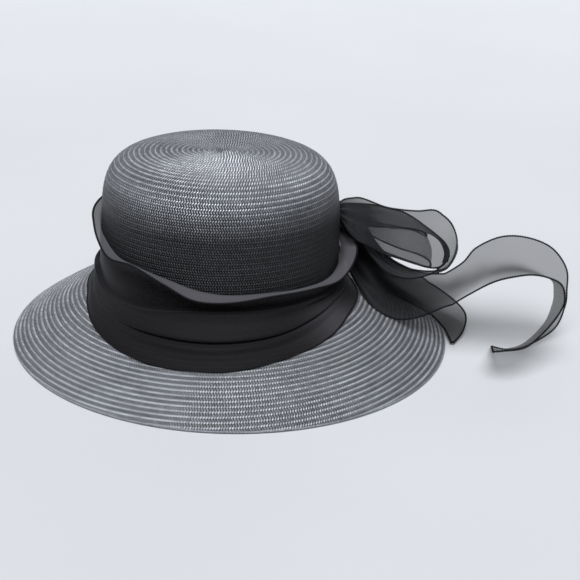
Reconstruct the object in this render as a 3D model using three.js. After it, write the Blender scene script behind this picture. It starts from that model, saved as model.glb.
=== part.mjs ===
// Wide-brim straw hat with a draped organza band and a loose bow at the back.
// Millimetres. +Z is up, +X points to the back of the hat, where the bow is,
// and the rim of the brim stands on the plane Z = 0.
import * as THREE from 'three';

// Crown: an oval drum with a straight side, a tight shoulder and a nearly flat top
const CROWN_LENGTH = 197;
const CROWN_WIDTH = 169;
const CROWN_HEIGHT = 113;
const CROWN_TAPER = 0.02;
const CROWN_SQUARENESS = 6.5;
const CROWN_ROW_SPREAD = 1.6;
const STRAW_WALL = 1.6;

// Brim: it slopes down from the crown to an oval rim that is wider at the back
const BRIM_LENGTH = 365;
const BRIM_WIDTH = 328;
const BRIM_SHIFT_BACK = 9.5;
const BRIM_SHIFT_SIDE = -3;
const BRIM_DROP = 46;
const BRIM_BULGE = 3;
const RIM_HEIGHT = 1.8;
const RIM_FOOT = 3.2;
const JOIN_GAP = 0.3;

// Band: one length of organza laid round the crown in folds
const CLOTH_WALL = 1.2;
const CLOTH_GAP = 0.8;
const BAND_RISE = 66;
const BAND_SPREAD = 14;
const BAND_OVER_BRIM = 1.3;

// Bow: a knot behind the crown with two loops, a long swirl and a lower tail
const RIBBON_WIDTH = 62;
const BOW_REACH = 196;
const BOW_LIFT = 100;
const KNOT_SIDE = 36;
const KNOT_LIFT = 40;
const KNOT_LENGTH = 26;
const KNOT_WIDTH = 22;
const KNOT_DEPTH = 12;
const KNOT_STANDOFF = 8;
const KNOT_FOLDS = 6;
const KNOT_FOLD_DEPTH = 0.07;
const KNOT_SQUARENESS = 4;

// Fineness of the faceted surfaces
const ROUND_STEPS = 52;
const CROWN_STEPS = 13;
const BRIM_STEPS = 8;
const BAND_STEPS = 20;
const RIBBON_STRIPS = 5;
const STEPS_PER_ROW = 2;
const KNOT_STEPS = 10;

// Reach and fineness of the search for a place on the brim
const FARTHEST_SHARE = 4;
const SEARCH_STEPS = 30;

const TURN = 2 * Math.PI;
const toRadians = (degrees) => (degrees * Math.PI) / 180;
const mix = (from, to, share) => from + (to - from) * share;
const clamp = (value, low, high) => Math.min(Math.max(value, low), high);

const strawMaterial = new THREE.MeshStandardMaterial({ color: 0x23262b, roughness: 0.45, metalness: 0 });
const bandMaterial = new THREE.MeshStandardMaterial({ color: 0x2a2a2d, roughness: 0.7, metalness: 0 });
const bowMaterial = new THREE.MeshStandardMaterial({ color: 0x3c3c40, roughness: 0.7, metalness: 0 });

// Band folds, one row for each place round the crown, in degrees from the back of
// the hat. top, crease and valley are heights over the brim join in shares of BAND_RISE,
// flare and roll stand off the crown in shares of BAND_SPREAD, gap is where the roll
// ends, in shares of the way to the hem, tuck is how far the cloth goes back under it,
// and hem is the hem's place between the crown (0) and the rim (1).
const bandRows = [
  { at: -170, top: 0.88, flare: 0.4, crease: 0.84, valley: 0.25, roll: 0.8, gap: 0.6, tuck: 0, hem: 0.18 },
  { at: -155, top: 0.77, flare: 0.5, crease: 0.76, valley: 0.14, roll: 0.8, gap: 0.6, tuck: 0, hem: 0.25 },
  { at: -140, top: 0.66, flare: 0.72, crease: 0.64, valley: 0.1, roll: 0.9, gap: 0.6, tuck: 0, hem: 0.36 },
  { at: -125, top: 0.68, flare: 0.72, crease: 0.6, valley: 0.11, roll: 1, gap: 0.58, tuck: 0.3, hem: 0.455 },
  { at: -110, top: 0.54, flare: 0.72, crease: 0.54, valley: 0.16, roll: 1, gap: 0.58, tuck: 0.9, hem: 0.515 },
  { at: -98, top: 0.39, flare: 0.72, crease: 0.46, valley: 0.2, roll: 1, gap: 0.6, tuck: 1, hem: 0.52 },
  { at: -85, top: 0.37, flare: 0.72, crease: 0.41, valley: 0.21, roll: 1, gap: 0.6, tuck: 1, hem: 0.505 },
  { at: -65, top: 0.42, flare: 0.72, crease: 0.4, valley: 0.2, roll: 1, gap: 0.61, tuck: 1, hem: 0.415 },
  { at: -45, top: 0.4, flare: 0.74, crease: 0.37, valley: 0.2, roll: 1, gap: 0.5, tuck: 0.9, hem: 0.325 },
  { at: -25, top: 0.37, flare: 0.85, crease: 0.36, valley: 0.2, roll: 0.9, gap: 0.42, tuck: 0.5, hem: 0.225 },
  { at: -5, top: 0.55, flare: 1, crease: 0.48, valley: 0.3, roll: 0.7, gap: 0.42, tuck: 0, hem: 0.2 },
  { at: 20, top: 0.68, flare: 0.25, crease: 0.6, valley: 0.4, roll: 0.45, gap: 0.5, tuck: 0, hem: 0.16 },
  { at: 60, top: 0.84, flare: 0.6, crease: 0.8, valley: 0.26, roll: 0.9, gap: 0.55, tuck: 0.2, hem: 0.25 },
  { at: 95, top: 0.86, flare: 0.7, crease: 0.8, valley: 0.2, roll: 1, gap: 0.6, tuck: 0.7, hem: 0.36 },
  { at: 135, top: 0.9, flare: 0.7, crease: 0.84, valley: 0.22, roll: 0.9, gap: 0.6, tuck: 0.4, hem: 0.27 },
];

// Points of the band's section beside the crown's wall, each at a share of the way
// between two heights, and standing off by shares of its flare and its roll
const wallPoints = [
  { from: 'top', to: 'crease', share: 0, flare: 1, roll: 0 },
  { from: 'top', to: 'crease', share: 0.5, flare: 0.5, roll: 0 },
  { from: 'crease', to: 'valley', share: 0, flare: 0.06, roll: 0.03 },
  { from: 'crease', to: 'valley', share: 0.6, flare: 0, roll: 0.02 },
  { from: 'crease', to: 'valley', share: 1, flare: 0, roll: 0.1 },
  { from: 'crease', to: 'valley', share: 1, flare: 0, roll: 0.45 },
];

// Points of the band's section over the brim, each at a place past the gap, or back
// under the roll, with its lift over the brim where the cloth is laid open and tucked
const brimPoints = [
  { past: -0.25, under: 0, open: 0.13, tucked: 0.17 },
  { past: 0, under: 0, open: 0.075, tucked: 0.11 },
  { past: 0.02, under: 0.14, open: 0.07, tucked: 0.03 },
  { past: 0.09, under: 0, open: 0.055, tucked: 0.09 },
  { past: 0.17, under: 0, open: 0.045, tucked: 0.035 },
  { past: 0.28, under: 0, open: 0.03, tucked: 0.035 },
];

// Ribbons, one row for each station from the knot to the end. far and near are the two
// selvedges, each as [out, side, lift]: out behind the crown in shares of BOW_REACH,
// side past the knot in shares of RIBBON_WIDTH, and lift over the brim or the surface
// that the hat stands on in shares of BOW_LIFT. cup arches the ribbon between its
// selvedges, in shares of RIBBON_WIDTH.
const upperLoopRows = [
  { far: [0.02, 0.13, 0.64], near: [0.02, -0.16, 0.6], cup: 0 },
  { far: [0.04, 0.23, 0.69], near: [0.05, -0.6, 0.5], cup: 0.04 },
  { far: [0.1, 0.23, 0.72], near: [0.11, -0.73, 0.49], cup: 0.05 },
  { far: [0.2, 0.26, 0.72], near: [0.18, -0.71, 0.47], cup: 0.03 },
  { far: [0.27, 0.26, 0.76], near: [0.24, -0.69, 0.49], cup: 0.02 },
  { far: [0.35, 0.23, 0.84], near: [0.33, -0.69, 0.53], cup: 0.02 },
  { far: [0.43, 0.16, 0.95], near: [0.4, -0.73, 0.59], cup: 0.04 },
  { far: [0.49, 0.06, 0.89], near: [0.43, -0.87, 0.67], cup: 0.06 },
  { far: [0.52, -0.03, 0.73], near: [0.45, -0.98, 0.82], cup: 0.06 },
  { far: [0.5, -0.19, 0.6], near: [0.42, -1.13, 0.78], cup: 0.05 },
  { far: [0.45, -0.29, 0.48], near: [0.38, -1.19, 0.68], cup: 0.03 },
  { far: [0.38, -0.32, 0.39], near: [0.32, -1.19, 0.56], cup: 0.02 },
  { far: [0.29, -0.26, 0.4], near: [0.25, -1.06, 0.46], cup: 0.02 },
  { far: [0.21, -0.13, 0.43], near: [0.18, -0.78, 0.43], cup: 0.01 },
  { far: [0.11, 0.03, 0.54], near: [0.1, -0.35, 0.45], cup: 0.01 },
  { far: [0.06, 0.05, 0.56], near: [0.06, -0.19, 0.5], cup: 0 },
];
const innerLoopRows = [
  { far: [0.06, 0.16, 0.61], near: [0.06, -0.1, 0.56], cup: 0 },
  { far: [0.11, 0.16, 0.64], near: [0.11, -0.5, 0.47], cup: 0.02 },
  { far: [0.2, 0.19, 0.65], near: [0.18, -0.56, 0.47], cup: 0 },
  { far: [0.27, 0.19, 0.7], near: [0.24, -0.6, 0.47], cup: 0 },
  { far: [0.34, 0.17, 0.76], near: [0.31, -0.62, 0.48], cup: 0 },
  { far: [0.38, 0.22, 0.74], near: [0.35, -0.55, 0.47], cup: 0.03 },
  { far: [0.35, 0.45, 0.7], near: [0.34, -0.35, 0.51], cup: 0.03 },
  { far: [0.26, 0.52, 0.67], near: [0.26, -0.19, 0.5], cup: 0.02 },
  { far: [0.16, 0.42, 0.62], near: [0.16, -0.05, 0.54], cup: 0.02 },
  { far: [0.1, 0.19, 0.59], near: [0.1, 0.06, 0.57], cup: 0 },
];
const swirlRows = [
  { far: [0.055, 0.16, 0.46], near: [0.055, -0.19, 0.21], cup: 0.02 },
  { far: [0.1, 0.13, 0.5], near: [0.08, -0.47, 0.11], cup: 0.05 },
  { far: [0.16, 0.1, 0.42], near: [0.13, -0.77, 0.07], cup: 0.08 },
  { far: [0.21, 0, 0.32], near: [0.18, -0.9, 0.04], cup: 0.08 },
  { far: [0.27, -0.06, 0.3], near: [0.27, -0.97, 0.05], cup: 0.04 },
  { far: [0.37, -0.1, 0.34], near: [0.36, -1.08, 0.21], cup: -0.04 },
  { far: [0.47, -0.13, 0.45], near: [0.46, -1.13, 0.44], cup: -0.1 },
  { far: [0.55, -0.16, 0.58], near: [0.55, -1.16, 0.59], cup: -0.13 },
  { far: [0.6, -0.19, 0.73], near: [0.64, -1.19, 0.71], cup: -0.14 },
  { far: [0.7, -0.23, 0.85], near: [0.73, -1.21, 0.77], cup: -0.14 },
  { far: [0.81, -0.26, 0.86], near: [0.79, -1.26, 0.8], cup: -0.14 },
  { far: [0.92, -0.29, 0.78], near: [0.85, -1.26, 0.78], cup: -0.15 },
  { far: [0.99, -0.35, 0.61], near: [0.9, -1.29, 0.74], cup: -0.16 },
  { far: [1, -0.42, 0.43], near: [0.92, -1.32, 0.66], cup: -0.16 },
  { far: [1, -0.45, 0.29], near: [0.92, -1.32, 0.54], cup: -0.16 },
  { far: [0.96, -0.55, 0.1], near: [0.87, -1.39, 0.38], cup: -0.12 },
  { far: [0.83, -0.84, 0.02], near: [0.77, -1.68, 0.29], cup: -0.06 },
  { far: [0.74, -0.97, 0.02], near: [0.68, -1.81, 0.29], cup: -0.02 },
  { far: [0.61, -0.9, 0.02], near: [0.56, -1.77, 0.26], cup: 0 },
];
const lowerTailRows = [
  { far: [0.07, 0.16, 0.3], near: [0.07, -0.16, 0.09], cup: 0 },
  { far: [0.21, 0.35, 0.25], near: [0.17, -0.42, 0.06], cup: 0.03 },
  { far: [0.39, 0.39, 0.25], near: [0.3, -0.58, 0.06], cup: 0.04 },
  { far: [0.51, 0.1, 0.21], near: [0.39, -0.71, 0.04], cup: 0.03 },
  { far: [0.58, -0.23, 0.12], near: [0.44, -0.97, 0.01], cup: 0.02 },
  { far: [0.56, -0.58, 0.05], near: [0.43, -1.19, 0.03], cup: 0.02 },
  { far: [0.5, -0.87, 0.03], near: [0.38, -1.35, 0.04], cup: 0 },
];

// A closed body is gathered face by face, and points that coincide become one
function newBody() {
  const points = [];
  const faces = [];
  const known = new Map();
  const pointIndex = (p) => {
    const key = p.map((value) => value.toFixed(4)).join(',');
    if (!known.has(key)) {
      known.set(key, points.length);
      points.push(p);
    }
    return known.get(key);
  };
  const triangle = (a, b, c) => {
    const [i, j, k] = [a, b, c].map(pointIndex);
    if (i !== j && j !== k && k !== i) faces.push([i, j, k]);
  };
  const quad = (a, b, c, d) => {
    triangle(a, b, c);
    triangle(a, c, d);
  };
  return { points, faces, quad };
}

function volumeOf(body) {
  return body.faces.reduce((sum, face) => {
    const [a, b, c] = face.map((i) => new THREE.Vector3(...body.points[i]));
    return sum + a.dot(b.cross(c));
  }, 0);
}

function finishedMesh(body, name, material) {
  const facesOut = volumeOf(body) > 0;
  const index = body.faces.flatMap(([i, j, k]) => (facesOut ? [i, j, k] : [i, k, j]));
  const geometry = new THREE.BufferGeometry();
  geometry.setAttribute('position', new THREE.Float32BufferAttribute(body.points.flat(), 3));
  geometry.setIndex(index);
  geometry.computeVertexNormals();
  const mesh = new THREE.Mesh(geometry, material);
  mesh.name = name;
  return mesh;
}

// A wall between two grids of points, [along][across], closed at its edges and,
// unless it runs right round, at its two ends
function wallBetween(outer, inner, isRing) {
  const body = newBody();
  const lastAlong = outer.length - 1;
  const lastAcross = outer[0].length - 1;
  const spans = isRing ? outer.length : lastAlong;
  for (let i = 0; i < spans; i += 1) {
    const next = (i + 1) % outer.length;
    for (let j = 0; j < lastAcross; j += 1) {
      body.quad(outer[i][j], outer[next][j], outer[next][j + 1], outer[i][j + 1]);
      body.quad(inner[i][j + 1], inner[next][j + 1], inner[next][j], inner[i][j]);
    }
    body.quad(inner[i][0], inner[next][0], outer[next][0], outer[i][0]);
    body.quad(outer[i][lastAcross], outer[next][lastAcross], inner[next][lastAcross], inner[i][lastAcross]);
  }
  for (let j = 0; j < lastAcross && !isRing; j += 1) {
    body.quad(outer[0][j], outer[0][j + 1], inner[0][j + 1], inner[0][j]);
    body.quad(inner[lastAlong][j], inner[lastAlong][j + 1], outer[lastAlong][j + 1], outer[lastAlong][j]);
  }
  return body;
}

// The two faces of a cloth of even thickness about a grid of points
function clothFaces(grid, isRing) {
  const count = grid.length;
  const at = (i, j) => {
    const along = isRing ? (i + count) % count : clamp(i, 0, count - 1);
    return new THREE.Vector3(...grid[along][clamp(j, 0, grid[0].length - 1)]);
  };
  const shifted = (offset) =>
    grid.map((row, i) =>
      row.map((p, j) => {
        const along = at(i + 1, j).sub(at(i - 1, j));
        const sideways = at(i, j + 1).sub(at(i, j - 1));
        const normal = along.cross(sideways).normalize();
        return new THREE.Vector3(...p).addScaledVector(normal, offset).toArray();
      }),
    );
  return [shifted(CLOTH_WALL / 2), shifted(-CLOTH_WALL / 2)];
}

// A smooth curve through values at given places, read at one place between them
function smoothValue(places, values, place) {
  let cell = 1;
  while (cell < places.length - 2 && places[cell + 1] <= place) cell += 1;
  const span = places[cell + 1] - places[cell];
  const slopeAt = (k) => (values[k + 1] - values[k - 1]) / (places[k + 1] - places[k - 1]);
  const slopeEnd = cell + 2 < places.length ? slopeAt(cell + 1) : 0;
  const t = (place - places[cell]) / span;
  return (
    values[cell] * (1 + 2 * t) * (1 - t) ** 2 +
    slopeAt(cell) * span * t * (1 - t) ** 2 +
    values[cell + 1] * (3 - 2 * t) * t ** 2 -
    slopeEnd * span * (1 - t) * t ** 2
  );
}

// Brim surface: share 0 is under the crown wall and 1 is the rim
const brimSizes = (share) => ({
  centreX: BRIM_SHIFT_BACK * share,
  centreY: BRIM_SHIFT_SIDE * share,
  halfLength: mix(CROWN_LENGTH / 2 - STRAW_WALL, BRIM_LENGTH / 2, share),
  halfWidth: mix(CROWN_WIDTH / 2 - STRAW_WALL, BRIM_WIDTH / 2, share),
});

function brimPoint(angle, share, height) {
  const { centreX, centreY, halfLength, halfWidth } = brimSizes(share);
  return [centreX + halfLength * Math.cos(angle), centreY + halfWidth * Math.sin(angle), height];
}

const brimHeight = (share) => mix(BRIM_DROP, RIM_HEIGHT, share) + 4 * BRIM_BULGE * share * (1 - share);

// Height of the brim, or of the surface that the hat stands on, at a place in plan
function heightUnder(x, y) {
  const shareBeyond = (share) => {
    const { centreX, centreY, halfLength, halfWidth } = brimSizes(share);
    return Math.hypot((x - centreX) / halfLength, (y - centreY) / halfWidth) - 1;
  };
  if (shareBeyond(0) < 0) return BRIM_DROP;
  let [low, high] = [0, FARTHEST_SHARE];
  for (let step = 0; step < SEARCH_STEPS; step += 1) {
    const middle = (low + high) / 2;
    if (shareBeyond(middle) > 0) low = middle;
    else high = middle;
  }
  return Math.max(0, brimHeight(low));
}

function makeCrown() {
  const power = 2 / CROWN_SQUARENESS;
  const face = (inset) =>
    Array.from({ length: ROUND_STEPS }, (_, i) => {
      const angle = (TURN * i) / ROUND_STEPS;
      return Array.from({ length: CROWN_STEPS + 1 }, (__, j) => {
        const lean = (Math.PI / 2) * (j / CROWN_STEPS) ** CROWN_ROW_SPREAD;
        const rise = Math.sin(lean) ** power;
        const share = j === CROWN_STEPS ? 0 : Math.cos(lean) ** power * (1 - CROWN_TAPER * rise);
        return [
          (CROWN_LENGTH / 2 - inset) * share * Math.cos(angle),
          (CROWN_WIDTH / 2 - inset) * share * Math.sin(angle),
          BRIM_DROP + JOIN_GAP + (CROWN_HEIGHT - JOIN_GAP - inset) * rise,
        ];
      });
    });
  return finishedMesh(wallBetween(face(0), face(STRAW_WALL), true), 'crown', strawMaterial);
}

// The brim's wall ends in a flat foot that runs right round under the rim
function makeBrim() {
  const footShare = 1 - RIM_FOOT / ((BRIM_LENGTH - CROWN_LENGTH) / 2);
  const section = (angle, underside) => {
    const row = Array.from({ length: BRIM_STEPS + 1 }, (_, j) => {
      const share = footShare * (j / BRIM_STEPS);
      const height = brimHeight(share) - (underside ? STRAW_WALL : 0);
      return brimPoint(angle, share, underside && j === BRIM_STEPS ? 0 : height);
    });
    return [...row, brimPoint(angle, 1, underside ? 0 : RIM_HEIGHT)];
  };
  const face = (underside) =>
    Array.from({ length: ROUND_STEPS }, (_, i) => section((TURN * i) / ROUND_STEPS, underside));
  return finishedMesh(wallBetween(face(false), face(true), true), 'brim', strawMaterial);
}

// A point beside the crown's wall, standing off it by a distance
function besideCrown(angle, height, offset) {
  const rise = clamp((height - BRIM_DROP) / CROWN_HEIGHT, 0, 1);
  const share = (1 - CROWN_TAPER * rise) * (1 - rise ** CROWN_SQUARENESS) ** (1 / CROWN_SQUARENESS);
  return [
    ((CROWN_LENGTH / 2) * share + offset) * Math.cos(angle),
    ((CROWN_WIDTH / 2) * share + offset) * Math.sin(angle),
    height,
  ];
}

// One section of the band from its flared top edge, over its roll, to its hem
function bandSection(angle, row) {
  const close = CLOTH_GAP + CLOTH_WALL / 2;
  const besideWall = wallPoints.map(({ from, to, share, flare, roll }) => {
    const height = BRIM_DROP + BAND_RISE * mix(row[from], row[to], share);
    return besideCrown(angle, height, close + BAND_SPREAD * (row.flare * flare + row.roll * roll));
  });
  const overBrim = (place, lift) => {
    const share = row.hem * place;
    return brimPoint(angle, share, brimHeight(share) + close * BAND_OVER_BRIM + BAND_RISE * lift);
  };
  const folds = brimPoints.map(({ past, under, open, tucked }) =>
    overBrim(row.gap + past - under * row.tuck, mix(open, tucked, row.tuck)),
  );
  return [...besideWall, ...folds, overBrim(1, 0)];
}

function makeBand() {
  const count = bandRows.length;
  const around = Array.from({ length: count + 4 }, (_, k) => {
    const row = bandRows[(k - 2 + count) % count];
    const turns = Math.floor((k - 2) / count);
    return { ...row, at: row.at + 360 * turns };
  });
  const places = around.map((row) => row.at);
  const columns = ['top', 'flare', 'crease', 'valley', 'roll', 'gap', 'tuck', 'hem'];
  const grid = Array.from({ length: ROUND_STEPS }, (_, i) => {
    const degrees = bandRows[0].at + (360 * i) / ROUND_STEPS;
    const row = Object.fromEntries(
      columns.map((name) => [name, smoothValue(places, around.map((each) => each[name]), degrees)]),
    );
    const section = bandSection(toRadians(degrees), row).map((p) => new THREE.Vector3(...p));
    const curve = new THREE.CatmullRomCurve3(section, false, 'centripetal');
    return curve.getPoints(BAND_STEPS).map((p) => p.toArray());
  });
  const [outer, inner] = clothFaces(grid, true);
  return finishedMesh(wallBetween(outer, inner, true), 'band', bandMaterial);
}

// A ribbon from its table of stations, with a sine arch between its two selvedges
function makeRibbon(rows, name) {
  const places = [-1, ...rows.keys(), rows.length];
  const ends = [rows[0], ...rows, rows[rows.length - 1]];
  const edgeAt = (edge, place) => {
    const valueAt = (k) => smoothValue(places, ends.map((row) => row[edge][k]), place);
    const [out, side, lift] = [0, 1, 2].map(valueAt);
    const x = CROWN_LENGTH / 2 + BOW_REACH * out;
    const y = KNOT_SIDE + RIBBON_WIDTH * side;
    return new THREE.Vector3(x, y, heightUnder(x, y) + BOW_LIFT * lift);
  };
  const count = (rows.length - 1) * STEPS_PER_ROW;
  const spine = Array.from({ length: count + 1 }, (_, i) => {
    const place = i / STEPS_PER_ROW;
    return {
      far: edgeAt('far', place),
      near: edgeAt('near', place),
      cup: RIBBON_WIDTH * smoothValue(places, ends.map((row) => row.cup), place),
    };
  });
  const grid = spine.map(({ far, near, cup }, i) => {
    const before = spine[Math.max(i - 1, 0)];
    const after = spine[Math.min(i + 1, count)];
    const along = after.far.clone().add(after.near).sub(before.far).sub(before.near);
    const archWay = along.cross(far.clone().sub(near)).normalize();
    return Array.from({ length: RIBBON_STRIPS + 1 }, (_, j) => {
      const share = j / RIBBON_STRIPS;
      return far.clone().lerp(near, share).addScaledVector(archWay, cup * Math.sin(Math.PI * share)).toArray();
    });
  });
  const [upper, lower] = clothFaces(grid, false);
  return finishedMesh(wallBetween(upper, lower, false), name, bowMaterial);
}

// The knot is a short wrap of cloth with upright folds, set just outside the band
function makeKnot() {
  const lean = Math.asin(KNOT_SIDE / (CROWN_WIDTH / 2));
  const centreX = (CROWN_LENGTH / 2) * Math.cos(lean) + KNOT_STANDOFF + KNOT_DEPTH / 2;
  const centreZ = BRIM_DROP + KNOT_LIFT;
  const ring = (rise) =>
    Array.from({ length: KNOT_STEPS * 2 }, (_, i) => {
      const angle = (TURN * i) / (KNOT_STEPS * 2);
      const fold = 1 + KNOT_FOLD_DEPTH * Math.cos(KNOT_FOLDS * angle);
      const waist = fold * Math.sqrt(Math.max(0, 1 - rise ** KNOT_SQUARENESS));
      return [
        centreX + (KNOT_DEPTH / 2) * waist * Math.cos(angle),
        KNOT_SIDE + (KNOT_WIDTH / 2) * waist * Math.sin(angle),
        centreZ + (KNOT_LENGTH / 2) * rise,
      ];
    });
  const rings = Array.from({ length: KNOT_STEPS + 1 }, (_, j) => ring(-Math.cos((Math.PI * j) / KNOT_STEPS)));
  const body = newBody();
  for (let j = 0; j < KNOT_STEPS; j += 1) {
    for (let i = 0; i < KNOT_STEPS * 2; i += 1) {
      const next = (i + 1) % (KNOT_STEPS * 2);
      body.quad(rings[j][i], rings[j][next], rings[j + 1][next], rings[j + 1][i]);
    }
  }
  return finishedMesh(body, 'bow_knot', bowMaterial);
}

const hat = new THREE.Group();
hat.add(makeCrown(), makeBrim(), makeBand(), makeKnot());
hat.add(makeRibbon(upperLoopRows, 'bow_upper_loop'), makeRibbon(innerLoopRows, 'bow_inner_loop'));
hat.add(makeRibbon(swirlRows, 'bow_swirl'), makeRibbon(lowerTailRows, 'bow_lower_tail'));

// The origin is the middle of the hat's footprint, on the surface that it stands on
const reach = new THREE.Box3().setFromObject(hat);
const middle = reach.getCenter(new THREE.Vector3());
hat.position.set(-middle.x, -middle.y, -reach.min.z);

export default hat;
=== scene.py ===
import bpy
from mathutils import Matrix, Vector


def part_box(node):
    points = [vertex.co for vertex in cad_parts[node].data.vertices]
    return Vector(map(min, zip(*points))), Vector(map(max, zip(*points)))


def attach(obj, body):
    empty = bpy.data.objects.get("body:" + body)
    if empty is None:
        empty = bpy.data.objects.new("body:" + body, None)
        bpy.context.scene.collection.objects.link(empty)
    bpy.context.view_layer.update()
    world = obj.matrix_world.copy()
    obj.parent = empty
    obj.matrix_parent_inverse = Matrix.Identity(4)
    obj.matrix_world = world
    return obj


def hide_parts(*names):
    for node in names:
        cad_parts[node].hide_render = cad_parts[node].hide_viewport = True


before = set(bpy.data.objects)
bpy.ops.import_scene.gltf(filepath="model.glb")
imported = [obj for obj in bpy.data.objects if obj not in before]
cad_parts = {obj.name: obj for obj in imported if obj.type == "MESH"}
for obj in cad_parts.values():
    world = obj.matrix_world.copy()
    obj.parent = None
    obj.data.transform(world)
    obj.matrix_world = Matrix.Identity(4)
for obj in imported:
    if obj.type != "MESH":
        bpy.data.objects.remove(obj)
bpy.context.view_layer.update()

import math

import bpy
import numpy as np
from mathutils import Matrix, Vector

# Shapes are worked out in millimetres from the crown's axis, on the surface that the
# hat stands on, with +X to the back of the hat and +Z up. AXIS is that place in metres.
low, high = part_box("crown")
AXIS = np.array([(low.x + high.x) / 2, (low.y + high.y) / 2, 0.0])
MM_PER_M = 1000
TURN = 2 * math.pi

# Camera: degrees, metres for its distance and for its aim from the crown's axis, and
# millimetres for its lens and sensor
CAMERA_ELEVATION = 25.8
CAMERA_ROLL = 2.2
CAMERA_DISTANCE = 1.0
CAMERA_AIM = (0.0589, 0, 0.038)
CAMERA_LENS = 73.37
CAMERA_SENSOR = 36

# Crown and brim
CROWN_LENGTH = 197.0
CROWN_WIDTH = 169.0
CROWN_HEIGHT = 113.0
CROWN_TAPER = 0.02
CROWN_SQUARENESS = 6.5
STRAW_WALL = 1.6
BRIM_LENGTH = 365.0
BRIM_WIDTH = 328.0
BRIM_RUN = (BRIM_LENGTH - CROWN_LENGTH) / 2
BRIM_SHIFT_BACK = 9.5
BRIM_SHIFT_SIDE = -3.0
BRIM_DROP = 46.0
BRIM_BULGE = 3.0
RIM_HEIGHT = 1.8
JOIN_GAP = 0.3

# Section of the rim, from its top to its foot: (past the rim, height). From the foot a
# short lip goes back up to the underside.
RIM_SECTION = (
    (0.0, RIM_HEIGHT),
    (0.5, RIM_HEIGHT * 0.75),
    (0.6, RIM_HEIGHT * 0.45),
    (0.3, 0.15),
    (-0.4, 0.0),
    (-3.0, 0.0),
)
RIM_LIP = -3.4
RIM_STROKES_PER_STEP = 4.0

# Sewn braid. A row's relief fades out at the strip's ends, and on a steep wall a share
# of it is left. Seams are where a strip starts, in degrees from the back of the hat,
# counted the way that it winds: anticlockwise up the crown and clockwise out on the brim.
ROW_PITCH = 4.3
ROW_RELIEF = 0.75
ROW_LEAN = 0.75
ROW_FADE = 1.2
STEEP_RELIEF = 0.35
INSIDE_RELIEF = -0.3
STROKE_PITCH = 2.1
CROWN_SEAM = 97
BRIM_SEAM = 255

# Painted shade: the crown's side is painted darker than its top, fading in between these heights
PAINTED_SHADE_TOP = 140.0
PAINTED_SHADE_FOOT = 114.0

# Band and bow
CLOTH_GAP = 0.8
CLOTH_WALL = 1.2
BAND_RISE = 66.0
BAND_SPREAD = 14.0
BAND_OVER_BRIM = 1.3
RIBBON_WIDTH = 62.0
BOW_REACH = 196.0
BOW_LIFT = 100.0
PLEAT_UNEVENNESS = 0.8
PLEAT_OPENING = 0.45
FOLD_CROWDING = 0.55
KNOT_SIDE = 36.0
KNOT_LIFT = 40.0
KNOT_LENGTH = 26.0
KNOT_WIDTH = 22.0
KNOT_DEPTH = 12.0
KNOT_STANDOFF = 8.0
KNOT_FOLDS = ((0.05, 9, 1.3), (0.03, 17, -2))

# Overlocked edges: thread radius, length of a bead, and its neck and swell as shares of
# the radius. No edge runs along THREAD_UPRIGHT, so a thread can be turned by it.
THREAD = 0.8
THREAD_BEAD = 2.2
BEAD_NECK = 0.4
BEAD_SWELL = 0.85
THREAD_UPRIGHT = (0.13, 0.21, 0.97)

# How fine the meshes are: points round a piece and along its profile, places in a row of
# braid, steps down the band and between ribbon stations, strips across a ribbon
CROWN_TURN_POINTS = 336
CROWN_INSIDE_TURN_POINTS = 180
CROWN_PROFILE_POINTS = 260
BRIM_TURN_POINTS = 520
BRIM_UNDER_TURN_POINTS = 260
BRIM_PROFILE_POINTS = 120
FINE_ACROSS = np.array([0, 0.1, 0.24, 0.42, 0.6, 0.8])
PLAIN_ACROSS = np.array([0, 0.35, 0.65])
BAND_TURN_POINTS = 560
BAND_STEPS = 66
STATION_STEPS = 14
RIBBON_STRIPS = 36
FOLD_STRIPS = 12
KNOT_TURN_POINTS = 97
KNOT_PROFILE_POINTS = 61
THREAD_SIDES = 6
BEAD_STEPS = 4
SHORT_THREAD_STEPS = 8

# Lengths and areas below these count as nothing
TINY_LENGTH = 1e-9
TINY_SPAN = 1e-4
TINY_AREA = 1e-4

# Band folds at places round the crown, in degrees from the back
BAND_COLUMNS = ("at", "top", "flare", "crease", "valley", "roll", "gap", "tuck", "hem")
BAND_ROWS = np.array([
    (-170, 0.88, 0.4, 0.84, 0.25, 0.8, 0.6, 0, 0.18),
    (-155, 0.77, 0.5, 0.76, 0.14, 0.8, 0.6, 0, 0.25),
    (-140, 0.66, 0.72, 0.64, 0.1, 0.9, 0.6, 0, 0.36),
    (-125, 0.68, 0.72, 0.6, 0.11, 1, 0.58, 0.3, 0.455),
    (-110, 0.54, 0.72, 0.54, 0.16, 1, 0.58, 0.9, 0.515),
    (-98, 0.39, 0.72, 0.46, 0.2, 1, 0.6, 1, 0.52),
    (-85, 0.37, 0.72, 0.41, 0.21, 1, 0.6, 1, 0.505),
    (-65, 0.42, 0.72, 0.4, 0.2, 1, 0.61, 1, 0.415),
    (-45, 0.4, 0.74, 0.37, 0.2, 1, 0.5, 0.9, 0.325),
    (-25, 0.37, 0.85, 0.36, 0.2, 0.9, 0.42, 0.5, 0.225),
    (-5, 0.55, 1, 0.48, 0.3, 0.7, 0.42, 0, 0.2),
    (20, 0.68, 0.25, 0.6, 0.4, 0.45, 0.5, 0, 0.16),
    (60, 0.84, 0.6, 0.8, 0.26, 0.9, 0.55, 0.2, 0.25),
    (95, 0.86, 0.7, 0.8, 0.2, 1, 0.6, 0.7, 0.36),
    (135, 0.9, 0.7, 0.84, 0.22, 0.9, 0.6, 0.4, 0.27),
])

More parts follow.
